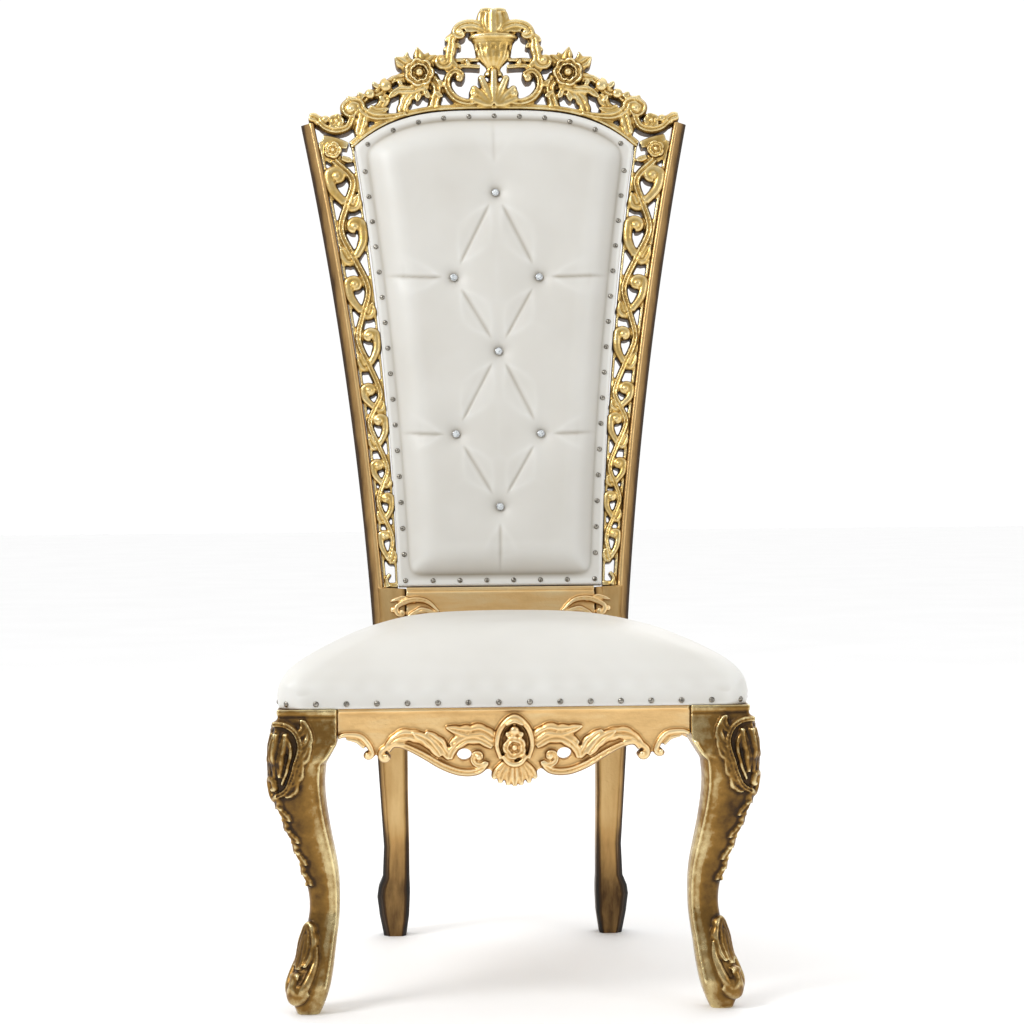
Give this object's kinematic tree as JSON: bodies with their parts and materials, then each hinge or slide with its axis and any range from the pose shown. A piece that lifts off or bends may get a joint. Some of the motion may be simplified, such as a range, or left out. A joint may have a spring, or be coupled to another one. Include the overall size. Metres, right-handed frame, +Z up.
{
  "type": "high back throne chair",
  "caption": "Tall carved and gilded throne chair with pierced scroll sides, a vase and rose crest, a buttoned white back and a crowned nailed seat",
  "frame": {"origin": "on the floor, at the centre of the chair's outline seen from above", "axes": "+X to the right as seen from the front, +Y to the back of the chair, +Z up"},
  "size_m": [0.668, 0.7612, 1.5044],
  "materials": {
    "gold_light": "carved wood under pale antique gold paint, brown in the hollows",
    "gold_copper": "plain wood under warm copper gold paint, satin",
    "gold_dark": "carved wood under dark bronze gold paint with rubbed highlights",
    "gold_tan": "plain wood under tan gold paint, near black on the chamfers",
    "white_hide": "off-white imitation leather over foam, satin",
    "crystal": "clear cut glass in a bright metal rim"
  },
  "bodies": {
    "root": {"front_leg_left": "gold_dark", "front_leg_right": "gold_dark", "rear_post_left": "gold_tan", "rear_post_right": "gold_tan", "front_apron": "gold_copper", "side_rail_left": "gold_copper", "side_rail_right": "gold_copper", "rear_seat_rail": "gold_copper", "lower_back_rail": "gold_copper", "fretwork_left": "gold_light", "fretwork_right": "gold_light", "crest": "gold_light", "back_cushion": "white_hide", "seat_cushion": "white_hide", "crystal_button_1": "crystal", "crystal_button_2": "crystal", "crystal_button_3": "crystal", "crystal_button_4": "crystal", "crystal_button_5": "crystal", "crystal_button_6": "crystal", "crystal_button_7": "crystal"}
  },
  "joints": []
}
